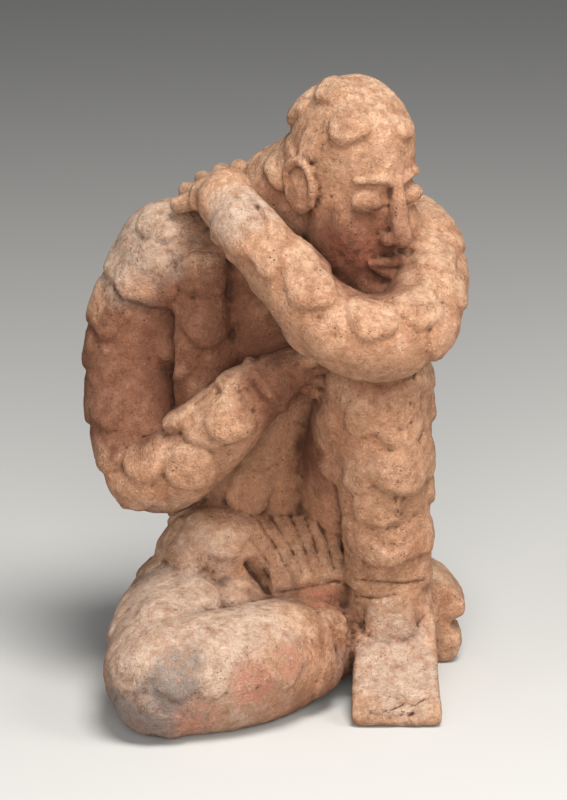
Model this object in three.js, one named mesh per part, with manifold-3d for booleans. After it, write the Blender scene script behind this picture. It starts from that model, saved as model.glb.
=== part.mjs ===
// A fired-clay figure that sits on the ground with one leg folded under it and the other knee drawn up.
// The left arm is wrapped over the raised knee, with its hand on the right shoulder, and the head leans on it.
// The whole figure is one solid: rolls and lumps of clay pressed together, with flat round pellets all over.
// Millimetres, +Z up. -Y is the way the raised foot points. The origin is under the middle of the base.
import * as THREE from "three";
import { mergeVertices } from "three/addons/utils/BufferGeometryUtils.js";
import Module from "manifold-3d";

const wasm = await Module();
wasm.setup();

const FLOOR = 0; // the clay is cut flat here, so the figure stands on its feet and seat
const TERRACOTTA = new THREE.MeshStandardMaterial({ color: 0xc7926f, roughness: 0.92, metalness: 0 });

// Each roll of clay is a list of stations: x, y, z of its middle and its radius there.
const ROLLS = {
  torso: {
    sides: 12,
    rings: 6,
    flatten: [1, 0.8, 1],
    dome: 0.45,
    stations: [
      [2, 36, 14, 44],
      [-3, 35, 50, 43.5],
      [-5, 32, 92, 42],
      [-6, 27, 135, 41],
      [-4, 21, 178, 43],
      [2, 17, 205, 36],
    ],
  },
  neck: {
    sides: 9,
    rings: 2,
    stations: [
      [-2, 18, 203, 25],
      [10, 9, 220, 25],
      [23, 0, 234, 23],
    ],
  },
  rightArm: {
    sides: 9,
    rings: 7,
    stations: [
      [-48, 24, 186, 24],
      [-61, 17, 166, 20],
      [-65, 9, 140, 18],
      [-62, -3, 116, 17],
      [-53, -15, 102, 18],
      [-34, -24, 114, 17],
      [-14, -30, 136, 15],
      [0, -31, 148, 12],
    ],
  },
  rightFlank: {
    sides: 7,
    rings: 2,
    stations: [
      [-44, 28, 184, 18],
      [-47, 23, 152, 16],
      [-50, 17, 122, 10],
    ],
  },
  rightRibs: {
    sides: 7,
    rings: 2,
    stations: [
      [-28, 8, 186, 20],
      [-31, 6, 158, 21],
      [-30, 8, 128, 20],
    ],
  },
  shoulders: {
    sides: 8,
    rings: 3,
    stations: [
      [-42, 31, 190, 20],
      [0, 37, 192, 24],
      [44, 28, 196, 20],
    ],
  },
  leftArm: {
    sides: 9,
    rings: 9,
    stations: [
      [54, 24, 201, 21],
      [63, 4, 196, 19.5],
      [65, -20, 187, 18],
      [60, -40, 175.5, 18],
      [43, -50, 171, 19],
      [22, -49, 180, 17],
      [5, -43, 198, 15],
      [-9, -34, 213, 14],
      [-21, -20, 225, 13],
    ],
  },
  rightThigh: {
    sides: 9,
    rings: 4,
    stations: [
      [-24, 38, 30, 30],
      [-35, 6, 32, 29],
      [-45, -34, 28, 27],
      [-48, -62, 24, 26],
    ],
  },
  rightShin: {
    sides: 9,
    rings: 5,
    stations: [
      [-46, -66, 24, 26],
      [-16, -55, 25, 26.5],
      [4, -34, 24, 25],
      [22, -10, 24, 21],
      [44, 14, 23, 17],
      [62, 28, 20, 15],
    ],
  },
  leftThigh: {
    sides: 10,
    rings: 4,
    stations: [
      [34, 42, 38, 31],
      [37, 14, 84, 27],
      [42, -13, 127, 25.5],
      [45, -26, 144, 24],
    ],
  },
  leftShin: {
    sides: 9,
    rings: 4,
    stations: [
      [46, -26, 145, 23],
      [48, -25, 118, 21.5],
      [49, -21, 87, 20],
      [50.5, -15, 57, 18],
      [51, -12, 36, 18.5],
    ],
  },
};

// Plain lumps: centre and half-sizes.
const LUMPS = {
  rightButtock: { at: [-22, 50, 28], size: [32, 32, 30] },
  leftButtock: { at: [32, 48, 28], size: [34, 32, 30] },
  rightShoulder: { at: [-43, 22, 193], size: [27, 26, 24] },
  leftShoulder: { at: [48, 24, 200], size: [24, 23, 22] },
  leftPalm: { at: [-25, -6, 225], size: [13, 13, 8] },
  rightPalm: { at: [8, -29, 153], size: [12, 11, 9] },
  lap: { at: [17, -6, 50], size: [22, 16, 16] },
  hip: { at: [-19, -8, 38], size: [24, 24, 16.5] },
  belly: { at: [-24, 0, 62], size: [28, 19, 20] },
};

// Fingers run from the palm to their tips.
const FINGER = { radius: 4.3, sides: 5, rings: 1, caps: 1 };
const LEFT_FINGERS = {
  root: [-24, -8, 226],
  tips: [
    [-15, 11, 232],
    [-23, 13, 230],
    [-31, 12, 227],
    [-37, 8, 224],
    [-40, 0, 220],
    [-32, -9, 223],
  ],
};
const RIGHT_FINGERS = {
  root: [6, -30, 153],
  tips: [
    [17, -38, 160],
    [20, -32, 155],
    [20, -28, 148],
    [17, -25, 142],
  ],
};

// The raised leg's foot is a slab with its toes worn away: its side outline in y and z, and its width.
const LEFT_FOOT = {
  middle: 53.5,
  width: 36,
  bevel: 2.5,
  outline: [
    [-61, 0],
    [-62, 8],
    [-56, 12],
    [-42, 20],
    [-24, 36],
    [-12, 42],
    [6, 38],
    [8, 14],
    [6, 0],
  ],
};

// The folded leg's foot shows beside it as a broken wedge: its outline in x and z, and its reach in y.
const RIGHT_FOOT = {
  outline: [
    [60, 0],
    [60, 43],
    [71, 43],
    [78, 37],
    [84, 27],
    [84, 22],
    [75, 19],
    [83, 13],
    [84, 9],
    [81, 0],
  ],
  start: 46,
  depth: 26,
};

const ANKLET = { at: [50.5, -15, 57], radius: 17.8, thickness: 2.2, sides: 12 };

// The apron is a fan of folds over a hem.
const APRON = {
  folds: 7,
  top: [
    [-7, 1, 76],
    [24, 1, 77],
  ],
  hem: [
    [3, -19, 50],
    [30, -17, 57],
  ],
  radius: 3,
};

const FOLD = { sides: 5, rings: 1, caps: 1 };

// Flat pellets of clay, pressed on all over. Each is x, z and radius, dropped on the clay along its way.
// A fourth number is how far a thicker one stands up.
const PELLET = { rise: 2.2, sink: 2.5, top: 0.8, sides: 7, reach: 7, steepest: -0.35 };
const FAR = 400; // well outside the figure
const CROSS = [
  [0, 0],
  [1, 0],
  [-1, 0],
  [0, 1],
  [0, -1],
];
const FRONT = {
  from: [0, -1, 0.268],
  spots: [
    [25, 268, 8],
    [38, 277, 7],
    [49, 270, 8],
    [33, 251, 8, 3],
    [55, 251, 6.5, 3],
    [12, 253, 8],
    [5, 235, 10, 3],
    [18, 239, 6.5],
    [-48, 213, 12, 3.5],
    [-71, 202, 10],
    [-55, 187, 15, 5],
    [-79, 174, 8],
    [-28, 187, 10, 3],
    [-28, 166, 12, 3],
    [-77, 146, 10],
    [-74, 127, 9.5, 3],
    [-73, 106, 9, 3],
    [-61, 89, 10, 3],
    [-56, 104, 11, 3.5],
    [-40, 123, 9, 4.5],
    [-19, 122, 11, 4.5],
    [-36, 100, 11.5, 4],
    [-16, 207, 12],
    [16, 183, 12, 3],
    [36, 169, 12],
    [45, 155, 10],
    [62, 166, 12, 3],
    [73, 159, 10, 3],
    [72, 188, 10],
    [64, 206, 9],
    [-11, 89, 10, 3],
    [-21, 69, 10],
    [-32, 44, 9],
    [-62, 13, 12],
    [-59, -8, 11],
    [-42, 8, 9],
    [-26, 8, 9],
    [5, 10, 9],
    [56, 99, 12, 4],
    [38, 122, 9],
    [56, 128, 10],
    [50, 64, 11, 3.5],
    [67, 70, 8, 3],
    [36, 70, 8],
    [23, 120, 8],
    [51.5, 31, 12, 3.5],
  ],
};
// The sides out of sight have theirs in staggered rows: the first and last in each of two directions.
const ROWS = {
  back: { from: [0, 1, 0], across: [-56, 56], up: [24, 200], step: 44, radius: 13 },
  left: { from: [1, 0, 0], across: [-40, 44], up: [26, 210], step: 40, radius: 12 },
  right: { from: [-1, 0, 0], across: [-40, 44], up: [26, 200], step: 40, radius: 12 },
};

// The head has a frame of its own: x to its left side, -y out of the face, z to the crown.
const HEAD = { at: [33.5, -13, 234], turn: 42, bow: 12 };
const FACE = {
  lumps: {
    skull: { at: [0, 2, 11], size: [26, 30.5, 34], sides: 12, rows: 7 },
    jaw: { at: [0, -8, -12], size: [23, 22, 37], sides: 10, rows: 6 },
    chin: { at: [0, -26, -42], size: [9, 7, 7], sides: 6, rows: 4 },
    upperLip: { at: [0, -31, -26.5], size: [9, 4, 2.8], sides: 6, rows: 4 },
    lowerLip: { at: [0, -30.5, -31.5], size: [8, 4, 3], sides: 6, rows: 4 },
    leftEye: { at: [11.5, -26, 0], size: [8, 5.5, 4.8], sides: 6, rows: 4 },
    rightEye: { at: [-11.5, -26, 0], size: [8, 5.5, 4.8], sides: 6, rows: 4 },
    leftEar: { at: [24, 3, -2], size: [5, 8, 11], sides: 6, rows: 4 },
    rightEar: { at: [-24, 3, -2], size: [5, 8, 11], sides: 6, rows: 4 },
  },
  nose: {
    sides: 7,
    rings: 2,
    caps: 1,
    stations: [
      [0, -27, 7, 3],
      [0, -32, -6, 4],
      [0, -34.5, -15, 5.5],
    ],
  },
};

// ---- making and joining solids

// A closed geometry as a solid that can be joined and cut.
function solidOf(geometry) {
  const bare = geometry.index ? geometry.toNonIndexed() : geometry.clone();
  for (const extra of ["normal", "uv"]) bare.deleteAttribute(extra);
  const merged = mergeVertices(bare, 1e-4);
  return new wasm.Manifold(
    new wasm.Mesh({
      numProp: 3,
      vertProperties: merged.attributes.position.array,
      triVerts: new Uint32Array(merged.index.array),
    }),
  );
}

function geometryOf(solid) {
  const { vertProperties, triVerts } = solid.getMesh();
  return new THREE.BufferGeometry()
    .setAttribute("position", new THREE.BufferAttribute(vertProperties, 3))
    .setIndex(new THREE.BufferAttribute(triVerts, 1));
}

// A capsule bent along a smooth line through the stations, as thick as they say.
function roll({ stations, sides = 12, rings = 8, caps = 2, dome = 1, flatten = [1, 1, 1] }) {
  const middles = stations.map(([x, y, z]) => new THREE.Vector3(x, y, z));
  const radii = stations.map(([, , , r], i) => new THREE.Vector3(r, i, 0));
  const line = new THREE.CatmullRomCurve3(middles, false, "catmullrom", 0.5);
  const thickness = new THREE.CatmullRomCurve3(radii, false, "catmullrom", 0.5);
  const frames = line.computeFrenetFrames(rings, false);
  const skin = new THREE.CapsuleGeometry(1, 1, caps, sides, rings);
  const place = skin.attributes.position;
  const point = new THREE.Vector3();
  const offset = new THREE.Vector3();
  for (let i = 0; i < place.count; i++) {
    point.fromBufferAttribute(place, i);
    const along = THREE.MathUtils.clamp(point.y + 0.5, 0, 1);
    const beyond = point.y + 0.5 - along;
    const ring = Math.round(along * rings);
    offset
      .set(0, 0, 0)
      .addScaledVector(frames.normals[ring], point.x)
      .addScaledVector(frames.binormals[ring], -point.z)
      .addScaledVector(frames.tangents[ring], beyond * dome)
      .multiply(new THREE.Vector3(...flatten))
      .multiplyScalar(thickness.getPoint(line.getUtoTmapping(along)).x);
    point.copy(line.getPointAt(along)).add(offset);
    place.setXYZ(i, point.x, point.y, point.z);
  }
  return solidOf(skin);
}

// A ball of clay pressed to the three half-sizes.
function lump({ at, size, sides = 9, rows = 5 }) {
  const ball = new THREE.SphereGeometry(1, sides, rows);
  ball.scale(...size);
  ball.translate(...at);
  return solidOf(ball);
}

function joined(solids) {
  return solids.reduce((whole, next) => whole.add(next));
}

// A fan of rolls of one thickness, from one root to several tips.
function fingers({ root, tips }) {
  return tips.map((tip) => roll({ ...FINGER, stations: [root, tip].map((end) => [...end, FINGER.radius]) }));
}

// An outline as a flat shape to be made thick.
function shapeOf(outline) {
  return new THREE.Shape(outline.map(([across, up]) => new THREE.Vector2(across, up)));
}

function leftFoot({ middle, width, bevel, outline }) {
  const slab = new THREE.ExtrudeGeometry(shapeOf(outline), {
    depth: width,
    bevelThickness: bevel,
    bevelSize: bevel,
    bevelSegments: 1,
  });
  slab.rotateX(Math.PI / 2);
  slab.rotateZ(Math.PI / 2);
  slab.translate(middle - width / 2, 0, 0);
  return solidOf(slab);
}

function rightFoot({ outline, start, depth }) {
  const block = new THREE.ExtrudeGeometry(shapeOf(outline), { depth, bevelEnabled: false });
  block.rotateX(Math.PI / 2);
  block.translate(0, start, 0);
  return solidOf(block);
}

function anklet({ at, radius, thickness, sides }) {
  const band = new THREE.TorusGeometry(radius, thickness, 4, sides);
  band.translate(...at);
  return solidOf(band);
}

function apron({ folds, top, hem, radius }) {
  const between = (ends, share) => ends[0].map((v, i) => THREE.MathUtils.lerp(v, ends[1][i], share));
  const fan = Array.from({ length: folds }, (_, i) => {
    const share = i / (folds - 1);
    return roll({
      ...FOLD,
      stations: [
        [...between(top, share), radius * 0.6],
        [...between(hem, share), radius],
      ],
    });
  });
  return [...fan, roll({ ...FOLD, stations: hem.map(([x, y, z]) => [x, y - 1, z - 2, radius]) })];
}

function head() {
  const solids = [...Object.values(FACE.lumps).map(lump), roll(FACE.nose)];
  const place = new THREE.Matrix4()
    .makeTranslation(...HEAD.at)
    .multiply(new THREE.Matrix4().makeRotationZ(THREE.MathUtils.degToRad(HEAD.turn)))
    .multiply(new THREE.Matrix4().makeRotationX(THREE.MathUtils.degToRad(HEAD.bow)));
  return solidOf(geometryOf(joined(solids)).applyMatrix4(place));
}

// ---- pellets

// Where a line from outside first meets the body, or nothing.
function meets(mesh, start, way, far) {
  return new THREE.Raycaster(start, way, 0, far).intersectObject(mesh)[0];
}

// The way out of the clay, averaged over a small cross of lines beside the first.
function meanNormal(mesh, start, way, apart) {
  const side = new THREE.Vector3(0, 0, 1).cross(way).normalize();
  const over = side.clone().cross(way);
  const sum = new THREE.Vector3();
  for (const [a, b] of CROSS) {
    const beside = start.clone().addScaledVector(side, a * apart).addScaledVector(over, b * apart);
    const found = meets(mesh, beside, way, FAR * 2);
    if (found) sum.add(found.face.normal);
  }
  return sum.normalize();
}

// A disc laid on the body: each of its points follows the clay below it.
function pellet(mesh, spot, way, radius, rise = PELLET.rise) {
  const start = spot.clone().addScaledVector(way, -FAR);
  const first = meets(mesh, start, way, FAR * 2);
  if (!first || first.face.normal.dot(way) > PELLET.steepest) return [];
  const up = meanNormal(mesh, start, way, radius / 2);
  const turn = new THREE.Quaternion().setFromUnitVectors(new THREE.Vector3(0, 1, 0), up);
  const down = up.clone().negate();
  const disc = new THREE.CylinderGeometry(PELLET.top, 1, 1, PELLET.sides);
  const place = disc.attributes.position;
  const point = new THREE.Vector3();
  for (let i = 0; i < place.count; i++) {
    point.fromBufferAttribute(place, i);
    const height = point.y > 0 ? rise : -PELLET.sink;
    point.setY(0).multiplyScalar(radius).applyQuaternion(turn).add(first.point);
    point.addScaledVector(up, PELLET.reach);
    const under = meets(mesh, point, down, PELLET.reach * 2);
    point.addScaledVector(down, under ? under.distance : PELLET.reach);
    point.addScaledVector(up, height);
    place.setXYZ(i, point.x, point.y, point.z);
  }
  return [solidOf(disc)];
}

function frontPellets(mesh, { from, spots }) {
  const way = new THREE.Vector3(...from).normalize().negate();
  return spots.flatMap(([x, z, radius, rise]) => pellet(mesh, new THREE.Vector3(x, 0, z), way, radius, rise));
}

function rowsOfPellets(mesh, { from, across, up, step, radius }) {
  const way = new THREE.Vector3(...from).normalize().negate();
  const side = new THREE.Vector3(0, 0, 1).cross(way).normalize();
  const found = [];
  for (let height = up[0], row = 0; height <= up[1]; height += step, row++) {
    for (let along = across[0] + (row % 2) * (step / 2); along <= across[1]; along += step) {
      const spot = side.clone().multiplyScalar(along).setZ(height);
      found.push(...pellet(mesh, spot, way, radius + Math.sin(along + height)));
    }
  }
  return found;
}

const body = joined([
  ...Object.values(ROLLS).map(roll),
  ...Object.values(LUMPS).map(lump),
  ...fingers(LEFT_FINGERS),
  ...fingers(RIGHT_FINGERS),
  leftFoot(LEFT_FOOT),
  rightFoot(RIGHT_FOOT),
  anklet(ANKLET),
  ...apron(APRON),
  head(),
]);

// ---- the finished figure, cut flat underneath and set over the origin

function cutAt(solid, height) {
  const below = new THREE.BoxGeometry(1000, 1000, 1000);
  below.translate(0, 0, height - 500);
  return solid.subtract(solidOf(below));
}

const bare = new THREE.Mesh(geometryOf(body), TERRACOTTA);
const covered = joined([
  body,
  ...frontPellets(bare, FRONT),
  ...Object.values(ROWS).flatMap((rows) => rowsOfPellets(bare, rows)),
]);

// Bubbles of air shut in between the rolls are filled: only the outermost skin is kept.
const [outside] = cutAt(covered, FLOOR)
  .decompose()
  .sort((a, b) => b.volume() - a.volume());

const whole = geometryOf(outside);
whole.computeBoundingBox();
const middle = whole.boundingBox.getCenter(new THREE.Vector3());
whole.translate(-middle.x, -middle.y, -whole.boundingBox.min.z);

const figure = new THREE.Mesh(whole, TERRACOTTA);
figure.name = "figure";

const part = new THREE.Group();
part.add(figure);
export default part;
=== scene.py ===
import math

import bpy
import numpy as np
from mathutils import Matrix, Vector
from mathutils.bvhtree import BVHTree
from mathutils.kdtree import KDTree


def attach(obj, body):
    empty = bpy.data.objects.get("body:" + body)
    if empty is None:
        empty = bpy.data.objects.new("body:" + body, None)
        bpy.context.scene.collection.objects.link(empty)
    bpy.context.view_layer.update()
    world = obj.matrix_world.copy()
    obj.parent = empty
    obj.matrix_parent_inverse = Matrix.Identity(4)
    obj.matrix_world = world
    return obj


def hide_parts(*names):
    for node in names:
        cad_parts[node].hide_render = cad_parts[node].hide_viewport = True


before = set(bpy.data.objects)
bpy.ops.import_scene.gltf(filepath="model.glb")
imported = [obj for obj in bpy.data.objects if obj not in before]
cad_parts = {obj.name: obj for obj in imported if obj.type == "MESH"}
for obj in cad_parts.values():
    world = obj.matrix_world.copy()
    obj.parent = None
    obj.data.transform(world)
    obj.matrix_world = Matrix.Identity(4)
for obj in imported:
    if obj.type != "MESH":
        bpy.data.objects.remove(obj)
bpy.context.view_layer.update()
scene = bpy.context.scene
millimetre = 0.001  # in the frame's metres

clay = {
    "centre": (0.95, -4.25, 0.0),  # where the middle of the base lies in the clay's own frame
    "coreGrain": 1.7,  # how fine the body is before the details are joined to it
    "coreSmoothing": 9,
    "grain": 0.9,  # how fine the whole figure is
    "smoothing": 1,
    "mostTriangles": 196000,
    "seed": 11,
    "away": 400,  # how far off the lines that find the clay start
    "reach": 900,  # and how long they are
}


def report(label, value=""):
    print("stage:", label, value, flush=True)


# Rolls, lumps and slabs of clay.

def only(piece):
    bpy.ops.object.select_all(action="DESELECT")
    piece.select_set(True)
    bpy.context.view_layer.objects.active = piece


def applied(piece, kind, **settings):
    only(piece)
    change = piece.modifiers.new(kind.lower(), kind)
    for name, value in settings.items():
        setattr(change, name, value)
    bpy.ops.object.modifier_apply(modifier=change.name)
    return piece


def joined(pieces):
    bpy.ops.object.select_all(action="DESELECT")
    for piece in pieces:
        piece.select_set(True)
    bpy.context.view_layer.objects.active = pieces[0]
    bpy.ops.object.join()
    return pieces[0]


def lumpOf(at, size, place=None):
    bpy.ops.mesh.primitive_uv_sphere_add(segments=40, ring_count=24, radius=1)
    ball = bpy.context.object
    ball.data.transform(Matrix.Translation(at) @ Matrix.Diagonal((*size, 1)))
    if place:
        ball.data.transform(place)
    return ball


def rollOf(stations, depth=1.0, place=None):
    curve = bpy.data.curves.new("roll", "CURVE")
    curve.dimensions = "3D"
    curve.bevel_depth = 1
    curve.bevel_resolution = 8
    curve.resolution_u = 12
    curve.use_fill_caps = True
    spline = curve.splines.new("BEZIER")
    spline.radius_interpolation = "CARDINAL"
    spline.bezier_points.add(len(stations) - 1)
    for point, (x, y, z, radius) in zip(spline.bezier_points, stations):
        point.co = (x, y / depth, z)
        point.radius = radius
        point.handle_left_type = point.handle_right_type = "AUTO"
    path = bpy.data.objects.new("roll", curve)
    scene.collection.objects.link(path)
    only(path)
    bpy.ops.object.convert(target="MESH")
    ends = []
    for x, y, z, radius in (stations[0], stations[-1]):
        ends.append(lumpOf((x, y / depth, z), (radius, radius, radius * (1 if depth == 1 else 0.5))))
    whole = joined([path, *ends])
    whole.data.transform(Matrix.Diagonal((1, depth, 1, 1)))
    if place:
        whole.data.transform(place)
    return whole


def bandOf(at, radius, thickness, lean):
    bpy.ops.mesh.primitive_torus_add(
        major_radius=radius, minor_radius=thickness, major_segments=64, minor_segments=16,
        location=at, rotation=[math.radians(angle) for angle in lean],
    )
    bpy.ops.object.transform_apply()
    return bpy.context.object


def prismOf(name, low, high, bevel):
    # A closed solid between two outlines with the same number of corners.
    count = len(low)
    faces = [tuple(range(count)), tuple(range(2 * count - 1, count - 1, -1))]
    faces += [(i, i + count, (i + 1) % count + count, (i + 1) % count) for i in range(count)]
    mesh = bpy.data.meshes.new(name)
    mesh.from_pydata([*low, *high], [], faces)
    slab = bpy.data.objects.new(name, mesh)
    scene.collection.objects.link(slab)
    only(slab)
    bpy.ops.object.mode_set(mode="EDIT")
    bpy.ops.mesh.select_all(action="SELECT")
    bpy.ops.mesh.normals_make_consistent(inside=False)
    bpy.ops.object.mode_set(mode="OBJECT")
    return applied(slab, "BEVEL", width=bevel, segments=4, limit_method="ANGLE", angle_limit=math.radians(30))


def wornDown(slab, times):
    applied(slab, "REMESH", mode="VOXEL", voxel_size=clay["coreGrain"])
    return applied(slab, "SMOOTH", factor=0.8, iterations=times)


# The raised leg's foot is a slab, with its toes worn away.
foot = {
    "middle": 53.5,
    "widths": (40.0, 33.0),  # at the toes, and at the ankle
    "bevel": 3.0,
    "wear": 5,  # how many times it is smoothed
    "outline": [  # y and z, from the toes round to the heel
        (-63, 0), (-65, 4), (-63.5, 8.5), (-59, 11), (-57.5, 13), (-50, 16), (-42, 21), (-32, 29), (-24, 36),
        (-12, 44), (6, 38), (10, 14), (8, 0),
    ],
}


def footOf(choice):
    front, back = choice["outline"][1][0], choice["outline"][-2][0]
    toes, ankle = choice["widths"]
    sides = []
    for side in (-0.5, 0.5):
        outline = []
        for y, z in choice["outline"]:
            share = (y - front) / (back - front)
            width = toes + (ankle - toes) * share
            outline.append((choice["middle"] + side * width, y, z))
        sides.append(outline)
    return wornDown(prismOf("foot", *sides, choice["bevel"]), choice["wear"])


# The folded leg's foot shows beside it as a broken wedge: its outline in x and z,
# and where it starts and ends in y.
wedge = {
    "outline": [
        (60, 0), (60, 44), (72, 45), (80, 39), (87.5, 29), (88, 22), (79, 19.5), (78.5, 17), (86, 14),
        (86.5, 10), (84, 2), (80, 0),
    ],
    "reach": (21, 47),
    "bevel": 1.5,
    "wear": 12,
}


def wedgeOf(choice):
    sides = [[(x, y, z) for x, z in choice["outline"]] for y in choice["reach"]]
    return wornDown(prismOf("wedge", *sides, choice["bevel"]), choice["wear"])


# The apron is a slab of clay over the lap: its outer corners, from the top left round.
apron = {
    "corners": [(-9.5, 0, 77), (26, 0, 78), (33, -20, 56), (0.5, -22, 47)],
    "thickness": 6.0,
    "redShadeAmount": (0, 0.62, -0.78),
    "bevel": 1.2,
}


def apronOf(choice):
    redShadeAmount = Vector(choice["redShadeAmount"]).normalized() * choice["thickness"]
    inner = [tuple(Vector(corner) + redShadeAmount) for corner in choice["corners"]]
    return prismOf("apron", choice["corners"], inner, choice["bevel"])


# The head has a frame of its own: x to its left, -y out of the face, z to the crown.
head = {
    "at": (33.5, -13, 234),
    "turn": 42,  # degrees to its left
    "bow": 12,
    "away": 50,  # how far before the face the lines that find it start
    "core": {
        "skull": ((0, 2, 11), (25.5, 30, 33.5)),
        "jaw": ((0, -8, -12), (23, 22, 37)),
        "chin": ((0, -25, -42), (10, 8, 8)),
        "leftCheek": ((13, -19, -15), (10, 9, 11)),
        "rightCheek": ((-13, -19, -15), (10, 9, 11)),
    },
    "lumps": {
        "leftEyeball": ((11, -23.4, -1), (8.5, 5.6, 5.2)),
        "rightEyeball": ((-11, -23.4, -1), (8.5, 5.6, 5.2)),
        "leftWing": ((4.6, -32, -16.5), (3.2, 3.6, 3)),
        "rightWing": ((-4.6, -32, -16.5), (3.2, 3.6, 3)),
        "leftEar": ((25, 3, -3), (4, 8.5, 12)),
        "rightEar": ((-25, 3, -3), (4, 8.5, 12)),
    },
    "rolls": {
        "nose": [(0, -27.5, 8, 2.6), (0, -31, -3, 3.4), (0, -34.5, -12, 4.4), (0, -35.5, -15, 4.6)],
        "upperLip": [
            (-9, -28.5, -28.4, 1.4), (-4, -31.6, -27, 2.3), (0, -32, -27.6, 2.1), (4, -31.6, -27, 2.3),
            (9, -28.5, -28.4, 1.4),
        ],
        "lowerLip": [(-7.5, -28.6, -30, 1.6), (0, -31.4, -32.2, 3), (7.5, -28.6, -30, 1.6)],
        "leftBrow": [(3, -27.6, 8, 2), (10, -26.4, 10, 2.2), (18, -20.4, 8, 1.6)],
        "rightBrow": [(-3, -27.6, 8, 2), (-10, -26.4, 10, 2.2), (-18, -20.4, 8, 1.6)],
        "leftHelix": [
            (26, -5, -8, 1.5), (28, -4, 4, 1.8), (28, 4, 9, 1.8), (28, 11, 3, 1.8), (27.5, 8, -9, 1.6),
        ],
        "rightHelix": [
            (-26, -5, -8, 1.5), (-28, -4, 4, 1.8), (-28, 4, 9, 1.8), (-28, 11, 3, 1.8), (-27.5, 8, -9, 1.6),
        ],
    },
}


def headPlace():
    turn = Matrix.Rotation(math.radians(head["turn"]), 4, "Z")
    bow = Matrix.Rotation(math.radians(head["bow"]), 4, "X")
    return Matrix.Translation(head["at"]) @ turn @ bow


# Rolls of clay: stations of x, y, z and radius.
bodyRolls = {
    "torso": [
        (2, 36, 14, 44), (-3, 35, 50, 43.5), (-5, 32, 92, 42), (-6, 27, 135, 41), (-4, 21, 178, 42),
        (2, 17, 202, 35),
    ],
    "neck": [(-2, 18, 203, 25), (10, 9, 220, 25), (23, 0, 234, 23)],
    "rightArm": [
        (-48, 24, 186, 24), (-61, 17, 166, 20), (-65, 9, 140, 18), (-62, -3, 116, 17.5), (-53, -15, 102, 18),
        (-34, -24, 114, 17.5), (-14, -30, 136, 15.5), (0, -31, 148, 12),
    ],
    "rightFlank": [(-44, 28, 184, 18), (-47, 23, 152, 16), (-50, 17, 122, 10)],
    "rightRibs": [(-28, 8, 186, 20), (-31, 6, 158, 21), (-30, 8, 128, 20)],
    "shoulders": [(-42, 31, 190, 20), (0, 37, 192, 24), (44, 28, 196, 20)],
    "leftArm": [
        (54, 24, 201, 21), (63, 4, 196, 19.5), (65, -20, 187, 18), (60, -40, 175.5, 18), (43, -50, 171, 19),
        (22, -49, 180, 17), (5, -43, 198, 15), (-9, -34, 213, 14), (-21, -20, 225, 12.5),
    ],
    "rightThigh": [(-24, 38, 30, 30), (-35, 6, 32, 29), (-45, -34, 28, 27), (-48, -62, 24, 26)],
    "rightShin": [
        (-46, -66, 24, 26), (-16, -55, 25, 26.5), (4, -34, 24, 25), (22, -10, 24, 21), (44, 14, 23, 17),
        (62, 28, 20, 15),
    ],
    "leftThigh": [(34, 42, 38, 31), (37, 14, 84, 27), (42, -13, 127, 25.5), (45, -26, 144, 24)],
    "leftShin": [
        (46, -26, 145, 23), (48, -25, 118, 21.5), (49, -21, 87, 20), (50.5, -15, 57, 18), (51, -12, 36, 18.5),
    ],
}
torsoDepth = 0.8  # front to back, as a share of its width

# Lumps: centre and half-sizes.
bodyLumps = {
    "rightButtock": ((-22, 50, 28), (32, 32, 30)),
    "leftButtock": ((32, 48, 28), (34, 32, 30)),
    "rightShoulder": ((-43, 22, 193), (27, 26, 24)),
    "leftShoulder": ((48, 24, 200), (24, 23, 22)),
    "leftHeel": ((53, 3, 14), (17.5, 12, 15)),
    "rightAnkle": ((66, 40, 19), (16, 15, 18)),
    "lap": ((17, -6, 50), (22, 16, 16)),
    "hip": ((-19, -8, 38), (24, 24, 16.5)),
    "belly": ((-24, 0, 62), (28, 19, 20)),
    "leftPalm": ((-24, -6, 225), (13, 13, 8)),
    "rightPalm": ((8, -29, 153), (12, 11, 9)),
}


def coreOf():
    place = headPlace()
    pieces = [rollOf(bodyRolls["torso"], torsoDepth)]
    pieces += [rollOf(stations) for name, stations in bodyRolls.items() if name != "torso"]
    pieces += [lumpOf(*choice) for choice in bodyLumps.values()]
    pieces += [lumpOf(*choice, place) for choice in head["core"].values()]
    core = joined(pieces)
    applied(core, "REMESH", mode="VOXEL", voxel_size=clay["coreGrain"])
    applied(core, "SMOOTH", factor=0.6, iterations=clay["coreSmoothing"])
    core.name = "core"
    return core


# Fingers: where they start, where each one ends, and how thick they are at the root and at the tip.
hands = {
    "left": {
        "root": (-22, -7, 226),
        "tips": [
            (-15, 12, 232), (-23, 14, 230), (-31, 13, 227), (-38, 9, 223), (-41, 0, 219), (-33, -10, 222),
        ],
    },
    "right": {
        "root": (6, -30, 153),
        "tips": [(17, -38, 160), (20, -32, 155), (20, -28, 148), (17, -25, 142)],
    },
    "fingerRadius": (5.0, 4.2),
}

# The cuff on the right wrist: a ring's middle, radius, thickness and lean.
bands = [
    {"at": (-3, -31, 146), "radius": 12.2, "thickness": 2.6, "lean": (0, 52, 0)},
]


def detailsOf():
    place = headPlace()
    pieces = [footOf(foot), wedgeOf(wedge), apronOf(apron)]
    pieces += [lumpOf(*choice, place) for choice in head["lumps"].values()]
    pieces += [rollOf(stations, 1.0, place) for stations in head["rolls"].values()]
    thick, thin = hands["fingerRadius"]
    for side in ("left", "right"):
        for tip in hands[side]["tips"]:
            pieces.append(rollOf([(*hands[side]["root"], thick), (*tip, thin)]))
    pieces += [bandOf(**band) for band in bands]
    return pieces


# Reading and writing a mesh as plain arrays.

def pointsOf(mesh):
    flat = np.empty(len(mesh.vertices) * 3, dtype=np.float32)
    mesh.vertices.foreach_get("co", flat)
    return flat.reshape(-1, 3).astype(np.float64)


def setPoints(mesh, points):
    mesh.vertices.foreach_set("co", points.astype(np.float32).ravel())
    mesh.update()


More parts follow.
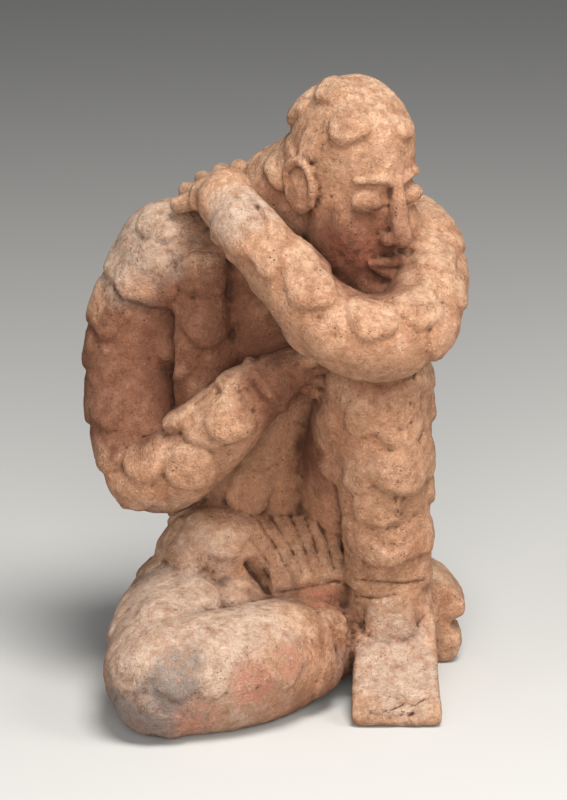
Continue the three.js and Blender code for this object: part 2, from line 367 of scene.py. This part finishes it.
def normalsOf(mesh):
    flat = np.empty(len(mesh.vertices) * 3, dtype=np.float32)
    mesh.vertex_normals.foreach_get("vector", flat)
    return flat.reshape(-1, 3).astype(np.float64)


def edgesOf(mesh):
    flat = np.empty(len(mesh.edges) * 2, dtype=np.int32)
    mesh.edges.foreach_get("vertices", flat)
    return flat.reshape(-1, 2)


def evened(values, edges, times):
    one, two = edges[:, 0], edges[:, 1]
    count = len(values)
    near = np.bincount(one, minlength=count) + np.bincount(two, minlength=count)
    columns = values if values.ndim == 2 else values[:, None]
    for _ in range(times):
        sums = [
            np.bincount(one, column[two], count) + np.bincount(two, column[one], count)
            for column in columns.T
        ]
        columns = 0.5 * columns + 0.5 * np.stack(sums, axis=1) / np.maximum(near, 1)[:, None]
    return columns if values.ndim == 2 else columns[:, 0]


# Noise.

def scattered(cells, seed):
    # A number from 0 to 1 for each cell of a grid, the same every time.
    mixed = cells[:, 0] * 374761393 + cells[:, 1] * 668265263 + cells[:, 2] * 974634777 + seed * 362437
    mixed = (mixed ^ (mixed >> 13)) & 0xFFFFFFFF
    mixed = (mixed * 1274126177) & 0xFFFFFFFF
    return ((mixed ^ (mixed >> 16)) & 0xFFFFFFFF) / 0xFFFFFFFF


def waves(points, size, seed):
    # A smooth random field, -1 to 1, with bumps about as wide as size.
    place = points / size
    cell = np.floor(place).astype(np.int64)
    part = place - cell
    part = part * part * (3 - 2 * part)
    total = np.zeros(len(points))
    for corner in np.ndindex(2, 2, 2):
        share = np.prod(np.where(corner, part, 1 - part), axis=1)
        total += share * scattered(cell + corner, seed)
    return 2 * total - 1


def roughness(points, size, seed, octaves=3):
    total = sum(waves(points, size / 2 ** i, seed + i) / 2 ** i for i in range(octaves))
    return total / (2 - 0.5 ** (octaves - 1))


def pits(points, size, seed, share, radius):
    # Round hollows scattered on the surface: 1 in the middle of each, 0 outside.
    cell = np.floor(points / size).astype(np.int64)
    deepest = np.zeros(len(points))
    for corner in np.ndindex(3, 3, 3):
        near = cell + np.array(corner) - 1
        spot = near + np.stack([scattered(near, seed + i) for i in range(3)], axis=1)
        wide = radius * (0.5 + scattered(near, seed + 3))
        gap = np.linalg.norm(points - spot * size, axis=1) / wide
        here = np.where(scattered(near, seed + 4) < share, np.clip(1 - gap * gap, 0, 1), 0)
        deepest = np.maximum(deepest, here)
    return deepest


# Pellets laid on from the front and a little above: x and z where their line passes y = 0, radius,
# and how far they stand out where that differs.
pellets = {
    "rise": 3.0,
    "sink": 2.0,  # how far their undersides go into the clay
    "slope": 0.268,  # how fast the lines from the front go down
    "tilt": 0.34,  # how much thicker the lower edge is
    "wobble": 0.06,  # how far from round they are
    "strayest": 0.2,  # the share that may overhang the clay before a pellet is left out
    "loosest": 8,  # how far off the clay is looked for under a pellet
    "sideRise": 0.8,  # how much those on the hidden sides stand out
    "rowHeight": 0.86,  # of the step along a row
    "front": [
        (25, 268, 8, 4), (38, 278, 7, 3), (49.5, 270, 7.5, 4), (32, 251, 9, 4), (55, 251, 6.5, 3.6),
        (12, 262, 9, 4), (5, 236, 11, 4), (16, 243, 7, 3.4),
        (-48, 213, 12, 4), (-71, 202, 10, 2.4), (-55, 187, 15, 6), (-79, 174, 8, 3), (-28, 187, 10, 3.2),
        (-28, 166, 12, 3.2), (-77, 146, 10, 2), (-74, 127, 9.5, 3.4), (-73, 106, 9, 3.2), (-61, 89, 10, 3.6),
        (-56, 104, 11, 4.2), (-40, 123, 9, 5.5), (-19, 122, 11, 5.5), (-36, 100, 11.5, 4.8), (-17, 141, 9, 3),
        (-16, 207, 13, 3), (-2, 196, 10, 2.4), (16, 182, 12, 4.2), (42, 167, 11, 4.2), (22, 157, 10, 3),
        (62, 172, 11, 3.6), (73, 159, 10, 3.6), (70, 195, 11, 3.8), (69, 214, 10, 3.8),
        (-11, 89, 10, 3), (-21, 69, 11, 2), (-32, 44, 10, 2), (-8, 108, 10, 2), (-38, 62, 10, 1.8),
        (-62, 13, 13, 2.6), (-59, -8, 12, 2.6), (-42, 8, 9, 2.2), (-44, -14, 8, 1.8), (-26, 8, 9, 1.6),
        (5, 10, 9, 1.6), (-68, 36, 10, 2.2), (-50, 38, 9, 1.6),
        (56, 99, 13, 4.4), (38, 122, 9, 2.2), (56, 128, 11, 2), (50, 64, 11, 3.6), (67, 70, 9, 3.4),
        (36, 70, 8, 2.8), (36, 96, 8, 2.4), (23, 120, 8, 2.2), (25, 100, 7, 2), (51.5, 31, 12.5, 3.6),
    ],
    # The sides out of sight have theirs in staggered rows.
    "rows": {
        "back": {"way": (0, 1, 0), "across": (-62, 62), "up": (16, 205), "step": 21, "radius": 10},
        "left": {"way": (1, 0, 0), "across": (-44, 50), "up": (20, 215), "step": 22, "radius": 10},
        "right": {"way": (-1, 0, 0), "across": (-44, 50), "up": (20, 205), "step": 22, "radius": 10},
        "crown": {"way": (0.5, 0.8, 0.45), "across": (-16, 34), "up": (232, 268), "step": 19, "radius": 8.5},
    },
}


def spotOn(tree, start, way):
    place, normal, _, _ = tree.ray_cast(start, way, clay["reach"])
    return (place, normal) if place else (None, None)


def pelletOn(tree, ball, start, way, radius, rise, seed):
    # A flattened ball, draped over the clay where a line meets it and facing as the clay does there.
    place, _ = spotOn(tree, start, way)
    if place is None:
        return None
    side = way.orthogonal().normalized()
    over = way.cross(side)
    total = Vector((0, 0, 0))
    for degrees in range(0, 360, 45):
        angle = math.radians(degrees)
        beside = start + (side * math.cos(angle) + over * math.sin(angle)) * radius * 0.5
        found, normal = spotOn(tree, beside, way)
        if found and (found - place).length < radius * 1.5:
            total += normal
    if total.length < 3 or total.normalized().dot(way) > -0.25:
        return None
    up = total.normalized()
    down = Vector((0, 0, -1)) - up * up.dot(Vector((0, 0, -1)))
    down = down.normalized() if down.length > 0.1 else up.orthogonal().normalized()
    across = up.cross(down)
    angles = np.arctan2(ball[:, 1], ball[:, 0])
    random = np.random.default_rng(seed)
    uneven = 1 + pellets["wobble"] * sum(
        random.normal() * np.cos(k * angles + random.uniform(0, 6.28)) for k in (2, 3, 4)
    )
    reach = min(radius * 0.8, pellets["loosest"])
    points = []
    strays = 0
    for (x, y, z), wide in zip(ball, uneven):
        out = math.hypot(x, y)
        flat = place + (down * x + across * y) * radius * wide
        found, normal, _, _ = tree.ray_cast(flat + up * reach, -up, reach * 2)
        if not found or normal.dot(up) < 0.1:
            found, normal = flat - up * reach * 0.5 * out, up
            strays += 1
        if z > 0:
            lift = (1 - pellets["tilt"]) + pellets["tilt"] * x
            height = rise * lift * (1 - out ** 7) ** 0.5 + 0.2
        else:
            height = pellets["sink"] * z
        points.append(found + (normal * 0.5 + up * 0.5).normalized() * height)
    return points if strays < len(points) * pellets["strayest"] else None


def pelletsOn(core):
    tree = BVHTree.FromObject(core, bpy.context.evaluated_depsgraph_get())
    bpy.ops.mesh.primitive_uv_sphere_add(segments=28, ring_count=12, radius=1)
    pattern = bpy.context.object
    ball = pointsOf(pattern.data)
    faces = [tuple(face.vertices) for face in pattern.data.polygons]
    bpy.data.objects.remove(pattern)
    wanted = []
    ahead = Vector((0, 1, -pellets["slope"])).normalized()
    for x, z, radius, *rise in pellets["front"]:
        start = Vector((x, 0, z)) - ahead * clay["away"]
        wanted.append((start, ahead, radius, rise[0] if rise else pellets["rise"]))
    for row in pellets["rows"].values():
        way = -Vector(row["way"]).normalized()
        side = Vector((0, 0, 1)).cross(way).normalized()
        line = 0
        height = row["up"][0]
        while height <= row["up"][1]:
            along = row["across"][0] + (line % 2) * row["step"] / 2
            while along <= row["across"][1]:
                jitter = math.sin(3 * along + height)
                start = side * (along + 2 * jitter) + Vector((0, 0, height - 2 * jitter)) - way * clay["away"]
                wanted.append((start, way, row["radius"] + jitter, pellets["rise"] * pellets["sideRise"]))
                along += row["step"]
            height += row["step"] * pellets["rowHeight"]
            line += 1
    points, skins = [], []
    for index, (start, way, radius, rise) in enumerate(wanted):
        made = pelletOn(tree, ball, start, way, radius, rise, clay["seed"] + index)
        if made:
            skins += [tuple(v + len(points) for v in face) for face in faces]
            points += made
    mesh = bpy.data.meshes.new("pellets")
    mesh.from_pydata(points, [], skins)
    piece = bpy.data.objects.new("pellets", mesh)
    scene.collection.objects.link(piece)
    return piece


core = coreOf()
report("core", len(core.data.vertices))
discs = pelletsOn(core)
report("pellets", len(discs.data.vertices))
figure = joined([core, discs, *detailsOf()])
figure.name = "terracotta_figure"
figure.data.name = "terracotta_figure"
applied(figure, "REMESH", mode="VOXEL", voxel_size=clay["grain"])
applied(figure, "SMOOTH", factor=0.5, iterations=clay["smoothing"])
report("clay", len(figure.data.vertices))


# Lines cut or cracked into the clay, with width and depth: x and z as the pellets have them,
# or in the head's frame.
grooves = [
    {"line": [(-47.5, 167), (-47.8, 150), (-49, 130)], "width": 3.2, "depth": 15.0},
    {"line": [(-18, 193), (-18, 178), (-17, 160)], "width": 3.0, "depth": 3.5},
    {"line": [(-10.8, 55.8), (-6.5, 49), (-2, 43.5)], "width": 2.0, "depth": 5.0},
    {"line": [(1, 42.5), (10, 44), (20, 46), (28, 47.5)], "width": 1.2, "depth": 1.6},
    {"line": [(-9.2, 66), (-5, 60), (-1.5, 55)], "width": 0.9, "depth": 0.9},
    {"line": [(-6.4, 75), (2, 62), (7.6, 50)], "width": 1.0, "depth": 1.1},
    {"line": [(-0.8, 76), (7, 64), (12.2, 52)], "width": 1.1, "depth": 1.2},
    {"line": [(7.6, 77), (12.5, 66), (16.9, 53)], "width": 1.1, "depth": 1.2},
    {"line": [(14.1, 76), (18, 66), (21.5, 53)], "width": 1.1, "depth": 1.2},
    {"line": [(19.7, 75), (23.5, 66), (26.5, 54)], "width": 1.1, "depth": 1.2},
    {"line": [(36, 48.5), (43, 48), (57, 46.7), (66, 48)], "width": 0.8, "depth": 1.7},
    {"line": [(36, 41), (46, 40.3), (53, 42)], "width": 0.8, "depth": 1.4},
    {"line": [(-28, 224), (-20, 227), (-12, 224), (-8, 218)], "width": 0.9, "depth": 0.8},
    {"line": [(-30, 219), (-21, 222.5), (-14, 219), (-10, 213)], "width": 0.9, "depth": 0.8},
    {"line": [(45, 174), (52, 173), (60, 172.5), (67, 173.5), (73, 174)], "width": 0.7, "depth": 1.2},
    {"line": [(42, -10), (50, -12.5), (60, -10.5)], "width": 1.3, "depth": 1.4},
    {"line": [(49.5, -8.5), (50.5, -12.5)], "width": 1.2, "depth": 1.2},
    {"line": [(58, -5.5), (59, -10.5)], "width": 1.4, "depth": 1.2},
    {"head": True, "line": [(4, -2.4), (8, -3.6), (12, -3.6), (17, -1.8)], "width": 0.7, "depth": 0.9},
    {"head": True, "line": [(-4, -2.4), (-8, -3.6), (-12, -3.6), (-17, -1.8)], "width": 0.7, "depth": 0.9},
    {"head": True, "line": [(-7.5, -29.4), (0, -29.9), (7.5, -29.4)], "width": 0.6, "depth": 0.8},
    {
        "line": [(47.5, -8.7), (52, -7.2), (57.5, -4.8), (61.4, -5.6), (65.3, -3.6)],
        "width": 0.8,
        "depth": 1.8,
    },
]

# Weathering: unevenness, pits, and round patches at x, y, z with their radius; the dark reddish patches are
# painted shade on clay that is redder there.
wear = {
    "unevenness": [(0.6, 14, 1, 3), (0.3, 4.5, 5, 3), (0.3, 2.2, 9, 2)],  # depth, size, seed, octaves
    "pits": [(0.9, 9, 21, 0.5, 1.3), (0.6, 5, 31, 0.5, 0.8)],  # depth, spacing, seed, share, radius
    "loss": 0.5,  # how deep the eroded patches are, before their own unevenness and pits
    "lossUnevenness": (1.4, 4, 71, 3),
    "lossPits": (0.8, 3.2, 41, 0.6, 1.1),
    "eroded": [
        (-70, 0, 174, 12), (53, -42, 84, 12), (55, -46, 136, 10), (72, -40, 160, 13), (27, -32, 32, 15),
        (-66, -70, 18, 14), (54, -61, 10, 8), (70, 28, 24, 7),
    ],
    "grey": [(-44, -88, 28, 13), (-34, -80, 34, 9), (-66, -74, 14, 12), (-58, -88, 8, 14)],
    # Painted shade on redder clay: under the arms, chin, knee, wrists and apron, and at the chest.
    "redShade": [
        (2, -20, 12, 40), (38, -38, 205, 24), (-66, -8, 142, 36), (-28, 0, 168, 34), (0, -14, 152, 26),
        (-56, -88, 12, 22), (46, -40, 150, 12), (2, -34, 146, 20), (-50, -18, 92, 12),
        (24, -4, 110, 18), (-4, -24, 47, 9), (30, 0, 246, 22),
    ],
    "rust": [
        (-10, -78, 26, 11), (4, -68, 32, 8), (-32, -84, 14, 11), (20, -24, 46, 8), (-74, -60, 26, 12),
        (34, -30, 210, 12),
    ],
    "dusty": [(-46, -60, 44, 50), (-58, 14, 200, 26), (-14, -36, 222, 14), (54, -46, 22, 24)],
}

# Shelter: how many points are tried, with how many lines each, how long, and how far off the clay.
shelter = {
    "points": 9000,
    "lines": 22,
    "length": 90,
    "lift": 0.6,
}


def clipped(values, low=0.0, high=1.0):
    return np.clip((values - low) / (high - low), 0, 1)


def patchOf(points, spots, seed):
    # How far inside any of the round patches each point is, with a ragged edge.
    ragged = 0.35 * roughness(points, 7, seed)
    inside = np.zeros(len(points))
    for x, y, z, radius in spots:
        gap = np.linalg.norm(points - (x, y, z), axis=1) / radius
        inside = np.maximum(inside, clipped(1.25 - gap + ragged, 0, 0.5))
    return inside


def shelterOf(piece):
    # How much of the open air each vertex is shut off from, by lines sent out from some of them.
    mesh = piece.data
    points, normals = pointsOf(mesh), normalsOf(mesh)
    tree = BVHTree.FromObject(piece, bpy.context.evaluated_depsgraph_get())
    random = np.random.default_rng(clay["seed"])
    chosen = random.choice(len(points), shelter["points"], replace=False)
    ways = random.normal(size=(shelter["lines"], 3))
    ways /= np.linalg.norm(ways, axis=1)[:, None]
    known = KDTree(shelter["points"])
    shut = []
    for order, index in enumerate(chosen):
        place, normal = Vector(points[index]), Vector(normals[index])
        start = place + normal * shelter["lift"]
        hits = 0
        for way in ways:
            line = Vector(way)
            if line.dot(normal) < 0:
                line = -line
            if line.z < 0 and start.z < -line.z * shelter["length"]:
                hits += 0.5  # the floor is near
            elif tree.ray_cast(start, line, shelter["length"])[0]:
                hits += 1
        shut.append(hits / len(ways))
        known.insert(place, order)
    known.balance()
    values = np.array([
        np.mean([shut[order] for _, order, _ in known.find_n(point, 4)]) for point in points
    ])
    return evened(values, edgesOf(mesh), 6)


def grooved(points, tree, choice):
    # Pushes the clay in along a line that is dropped on it from the front.
    place, slope, away = Matrix(), pellets["slope"], clay["away"]
    if choice.get("head"):
        place, slope, away = headPlace(), 0, head["away"]
    ahead = place.to_3x3() @ Vector((0, 1, -slope)).normalized()
    stops = [place @ Vector((x, 0, z)) for x, z in choice["line"]]
    found, total = [], Vector((0, 0, 0))
    for start, end in zip(stops, stops[1:]):
        steps = max(2, int((end - start).length / 0.6))
        for step in range(steps + 1):
            hit, normal = spotOn(tree, start.lerp(end, step / steps) - ahead * away, ahead)
            if hit:
                found.append(hit)
                total += normal
    line = np.array(found)
    reach = choice["width"] * 2.5
    near = np.all((points > line.min(axis=0) - reach) & (points < line.max(axis=0) + reach), axis=1)
    inside = points[near]
    gap = np.sqrt(((inside[:, None, :] - line[None]) ** 2).sum(axis=2).min(axis=1)) / choice["width"]
    points[near] -= np.array(total.normalized()) * (choice["depth"] * np.exp(-gap ** 2))[:, None]


def stored(mesh, name, values):
    mesh.attributes.new(name, "FLOAT", "POINT").data.foreach_set("value", values.astype(np.float32))


points = pointsOf(figure.data)
normals = normalsOf(figure.data)
tree = BVHTree.FromObject(figure, bpy.context.evaluated_depsgraph_get())
for groove in grooves:
    grooved(points, tree, groove)
eroded = patchOf(points, wear["eroded"], 61)
rough = sum(depth * roughness(points, *rest) for depth, *rest in wear["unevenness"])
holes = sum(depth * pits(points, *rest) for depth, *rest in wear["pits"])
depth, *rest = wear["lossUnevenness"]
lost = wear["loss"] + depth * np.abs(roughness(points, *rest))
depth, *rest = wear["lossPits"]
lost += depth * pits(points, *rest)
holes += eroded * lost
points += normals * (rough - holes)[:, None]
points[:, 2] = np.maximum(points[:, 2], 0)
setPoints(figure.data, points)
triangles = sum(len(face.vertices) - 2 for face in figure.data.polygons)
applied(figure, "DECIMATE", ratio=min(1, clay["mostTriangles"] / triangles), use_collapse_triangulate=True)
report("triangles", len(figure.data.polygons))

# What the material reads: hollows of two sizes and shelter, for painted shade; facing up, for painted top
# light; and the patches of colour, the reddish ones partly painted shade.
points = pointsOf(figure.data)
normals = normalsOf(figure.data)
edges = edgesOf(figure.data)
dent = np.sum((evened(points, edges, 4) - points) * normals, axis=1)
stored(figure.data, "creviceShade", evened(clipped(dent, -0.5, 0.5), edges, 1))
dent = np.sum((evened(points, edges, 40) - points) * normals, axis=1)
stored(figure.data, "hollow", clipped(dent, -2.0, 2.0))
stored(figure.data, "shelter", shelterOf(figure))
stored(figure.data, "upward", clipped(evened(normals, edges, 6)[:, 2], -0.6, 1.0))
for name in ("grey", "redShade", "rust", "dusty"):
    stored(figure.data, name, patchOf(points, wear[name], 81))
report("attributes")

figure.data.transform(Matrix.Scale(millimetre, 4) @ Matrix.Translation(-Vector(clay["centre"])))
only(figure)
bpy.ops.object.shade_smooth()

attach(figure, "root")
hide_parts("figure")


class Wire:
    # A number on its way through a shader, worked on with ordinary signs.
    def __init__(self, board, socket):
        self.board = board
        self.socket = socket

    def maths(self, operation, one, two):
        node = self.board.node("ShaderNodeMath", {"operation": operation}, one, two)
        return Wire(self.board, node.outputs[0])

    def __add__(self, other):
        return self.maths("ADD", self, other)

    def __sub__(self, other):
        return self.maths("SUBTRACT", self, other)

    def __rsub__(self, other):
        return self.maths("SUBTRACT", other, self)

    def __mul__(self, other):
        return self.maths("MULTIPLY", self, other)

    __radd__ = __add__
    __rmul__ = __mul__

    def capped(self, most):
        return self.maths("MINIMUM", self, most)

    def between(self, low, high):
        # 0 below low, 1 above high, smooth in the middle.
        node = self.board.node(
            "ShaderNodeMapRange", {"interpolation_type": "SMOOTHSTEP"}, self, low, high, 0, 1,
        )
        return Wire(self.board, node.outputs[0])


class Board:
    # A material's nodes.
    def __init__(self, name):
        self.material = bpy.data.materials.new(name)
        self.material.use_nodes = True
        self.tree = self.material.node_tree
        self.surface = self.tree.nodes["Principled BSDF"]
        self.where = self.node("ShaderNodeTexCoord").outputs["Object"]

    def plug(self, socket, value):
        if isinstance(value, Wire):
            value = value.socket
        if isinstance(value, bpy.types.NodeSocket):
            self.tree.links.new(value, socket)
        else:
            socket.default_value = value

    def node(self, kind, settings=None, *values, **named):
        made = self.tree.nodes.new(kind)
        for name, value in (settings or {}).items():
            setattr(made, name, value)
        for socket, value in zip(made.inputs, values):
            self.plug(socket, value)
        for name, value in named.items():
            self.plug(made.inputs[name.replace("_", " ")], value)
        return made

    def noise(self, size, detail=4.0, roughness=0.55, twist=0.0):
        made = self.node(
            "ShaderNodeTexNoise", Vector=self.where, Scale=1 / (size * millimetre), Detail=detail,
            Roughness=roughness, Distortion=twist,
        )
        return Wire(self, made.outputs[0])

    def cells(self, size):
        made = self.node("ShaderNodeTexVoronoi", Vector=self.where, Scale=1 / (size * millimetre))
        return Wire(self, made.outputs[0])

    def painted(self, name):
        return Wire(self, self.node("ShaderNodeAttribute", {"attribute_name": name}).outputs["Fac"])

    def mixed(self, share, under, over, way="MIX"):
        made = self.node("ShaderNodeMix", {"data_type": "RGBA", "blend_type": way, "clamp_factor": True})
        self.plug(made.inputs[0], share)
        self.plug(made.inputs[6], under)
        self.plug(made.inputs[7], over)
        return made.outputs[2]


# Colours of the fired clay, and of the shade and top light painted on it, as linear RGB.
tones = {
    "tan": (0.44, 0.22, 0.12, 1),
    "orange": (0.49, 0.225, 0.12, 1),
    "rose": (0.48, 0.23, 0.15, 1),
    # Painted shade on redder clay.
    "redShade": (0.17, 0.056, 0.029, 1),
    "rust": (0.46, 0.155, 0.095, 1),
    # Painted top light, partly dust.
    "buff": (0.63, 0.405, 0.265, 1),
    "dust": (0.56, 0.45, 0.37, 1),
    "grey": (0.2, 0.17, 0.155, 1),
    "grime": (0.22, 0.15, 0.10, 1),
    # Painted shade.
    "creviceShade": (0.07, 0.028, 0.014, 1),
    "pore": (0.05, 0.022, 0.013, 1),
    "grog": (0.72, 0.56, 0.42, 1),
}


def claySkin():
    board = Board("terracotta")
    creviceShade = board.painted("creviceShade")
    hollow = board.painted("hollow")
    closed = board.painted("shelter")
    broad = board.noise(38, 3)
    patchy = board.noise(13, 5, 0.6, 0.6)
    mottled = board.noise(4.5, 5, 0.65)
    grainy = board.noise(1.1, 3, 0.7)
    exposed = 1 - closed.between(0.4, 0.95)
    colour = board.mixed(broad.between(0.35, 0.65), tones["tan"], tones["orange"])
    colour = board.mixed(patchy.between(0.5, 0.72) * 0.5, colour, tones["rose"])
    # Painted shade: dark reddish in sheltered places and in the listed patches, where the clay is also
    # redder.
    redShadeAmount = closed.between(0.65, 1) * 0.25 + board.painted("redShade") * broad.between(0.1, 0.5) * 0.85
    colour = board.mixed(redShadeAmount.capped(1), colour, tones["redShade"])
    # Painted light from above, partly settled dust: buff on faces that turn up and lie in the open, and on
    # rounded parts.
    dustAndTopLight = (board.painted("upward").between(0.2, 1) * 0.75 + 0.1) * exposed
    dustAndTopLight = dustAndTopLight + (1 - hollow).between(0.45, 0.8) * 0.25
    dustAndTopLight = dustAndTopLight * patchy.between(0.15, 0.75) * 1.2 * (1 - board.painted("redShade") * 0.85)
    dustAndTopLight = dustAndTopLight * (mottled.between(0.3, 0.62) * 0.8 + 0.3)
    colour = board.mixed(dustAndTopLight.capped(0.85), colour, tones["buff"])
    dust = board.painted("dusty") * exposed * mottled.between(0.2, 0.6)
    colour = board.mixed(dust * 0.6, colour, tones["dust"])
    colour = board.mixed(board.painted("grey") * mottled.between(0.25, 0.55) * 0.7, colour, tones["grey"])
    colour = board.mixed(board.painted("rust") * mottled.between(0.35, 0.55) * 0.6, colour, tones["rust"])
    lichen = board.noise(9, 6, 0.7, 1.2).between(0.6, 0.68) * (1 - closed)
    colour = board.mixed(lichen * 0.12, colour, tones["grime"])
    flecks = board.noise(2.1, 5, 0.75, 0.8)
    plain = exposed * (1 - board.painted("redShade") * 0.8)
    colour = board.mixed(flecks.between(0.57, 0.66) * plain * 0.45, colour, tones["grog"])
    colour = board.mixed((1 - flecks.between(0.36, 0.44)) * 0.4, colour, tones["grime"])
    shade = (mottled - 0.5) * 0.8 + (grainy - 0.5) * 0.8 + (patchy - 0.5) * 0.5 + 0.95
    tint = board.node("ShaderNodeCombineColor", None, shade, shade, shade).outputs[0]
    colour = board.mixed(1, colour, tint, "MULTIPLY")
    # Painted shade: near black in creases and large hollows and where the clay is sheltered.
    paintedShade = creviceShade.between(0.56, 0.95) * 0.8 + hollow.between(0.55, 0.9) * 0.25
    paintedShade = paintedShade + closed.between(0.6, 1) * 0.25
    colour = board.mixed(paintedShade.capped(0.9), colour, tones["creviceShade"])
    specks = (1 - board.cells(1.9).between(0.08, 0.3)) * board.noise(6, 2).between(0.52, 0.66)
    colour = board.mixed(specks * 0.55, colour, tones["pore"])
    grog = (1 - board.cells(3.4).between(0.08, 0.17)) * board.noise(8, 2).between(0.48, 0.6)
    colour = board.mixed(grog * plain * 0.35, colour, tones["grog"])
    board.plug(board.surface.inputs["Base Color"], colour)
    board.plug(board.surface.inputs["Roughness"], 0.82 + mottled * 0.14)
    board.surface.inputs["Specular IOR Level"].default_value = 0.25
    height = grainy * 1.1 + flecks * 1.8 + board.noise(0.55, 2) * 0.4
    height = height - specks * 0.8 + grog * 0.35
    bump = board.node("ShaderNodeBump", Strength=1.0, Distance=1.1 * millimetre, Height=height)
    board.plug(board.surface.inputs["Normal"], bump.outputs[0])
    return board.material


figure.data.materials.clear()
figure.data.materials.append(claySkin())

# Lamps: where each stands and what it points at in metres, its width, its power in watts and its colour.
studio = {
    "floor": (0.5, 0.5, 0.49, 1),
    "floorSize": 12,
    "floorRoughness": 0.85,
    "floorShine": 0.1,
    "lamps": {
        "key": ((0.25, -0.6, 1.4), (0, 0, 0.12), 0.7, 28, (1, 0.97, 0.93)),
        "front": ((0.0, -1.5, 0.5), (0, 0, 0.08), 0.7, 20, (1, 0.97, 0.93)),
        "right": ((1.1, -0.6, 0.9), (0, 0, 0.12), 0.7, 9, (1, 0.97, 0.93)),
        "left": ((-1.1, -0.8, 0.9), (0, 0, 0.12), 0.9, 3, (0.96, 0.98, 1)),
    },
    "sky": (0.9, 0.93, 1, 1),
    "skyStrength": 0.12,
}

view = {
    "target": (3.45, 4.2, 130.6),
    "elevation": 15,
    "distance": 1600,
    "lens": 163,
    "sensor": 36,
}


def addCamera():
    data = bpy.data.cameras.new("camera")
    data.lens = view["lens"]
    data.sensor_width = view["sensor"]
    camera = bpy.data.objects.new("camera", data)
    scene.collection.objects.link(camera)
    rise = math.radians(view["elevation"])
    back = Vector((0, -math.cos(rise), math.sin(rise)))
    camera.location = (Vector(view["target"]) + back * view["distance"]) * millimetre
    camera.rotation_euler = (-back).to_track_quat("-Z", "Y").to_euler()
    scene.camera = camera


def addFloor():
    bpy.ops.mesh.primitive_plane_add(size=studio["floorSize"], location=(0, 0, 0))
    floor = bpy.context.object
    floor.name = "floor"
    board = Board("floor")
    board.surface.inputs["Base Color"].default_value = studio["floor"]
    board.surface.inputs["Roughness"].default_value = studio["floorRoughness"]
    board.surface.inputs["Specular IOR Level"].default_value = studio["floorShine"]
    floor.data.materials.append(board.material)


def addLight(name, place, aim, size, power, colour):
    data = bpy.data.lights.new(name, "AREA")
    data.shape = "DISK"
    data.size = size
    data.energy = power
    data.color = colour
    light = bpy.data.objects.new(name, data)
    light.location = place
    light.rotation_euler = (Vector(aim) - Vector(place)).to_track_quat("-Z", "Y").to_euler()
    scene.collection.objects.link(light)


def addWorld():
    world = bpy.data.worlds.new("studio")
    world.use_nodes = True
    background = world.node_tree.nodes["Background"]
    background.inputs["Color"].default_value = studio["sky"]
    background.inputs["Strength"].default_value = studio["skyStrength"]
    scene.world = world


addCamera()
addFloor()
for name, lamp in studio["lamps"].items():
    addLight(name, *lamp)
addWorld()
scene.view_settings.view_transform = "Standard"
report("studio")
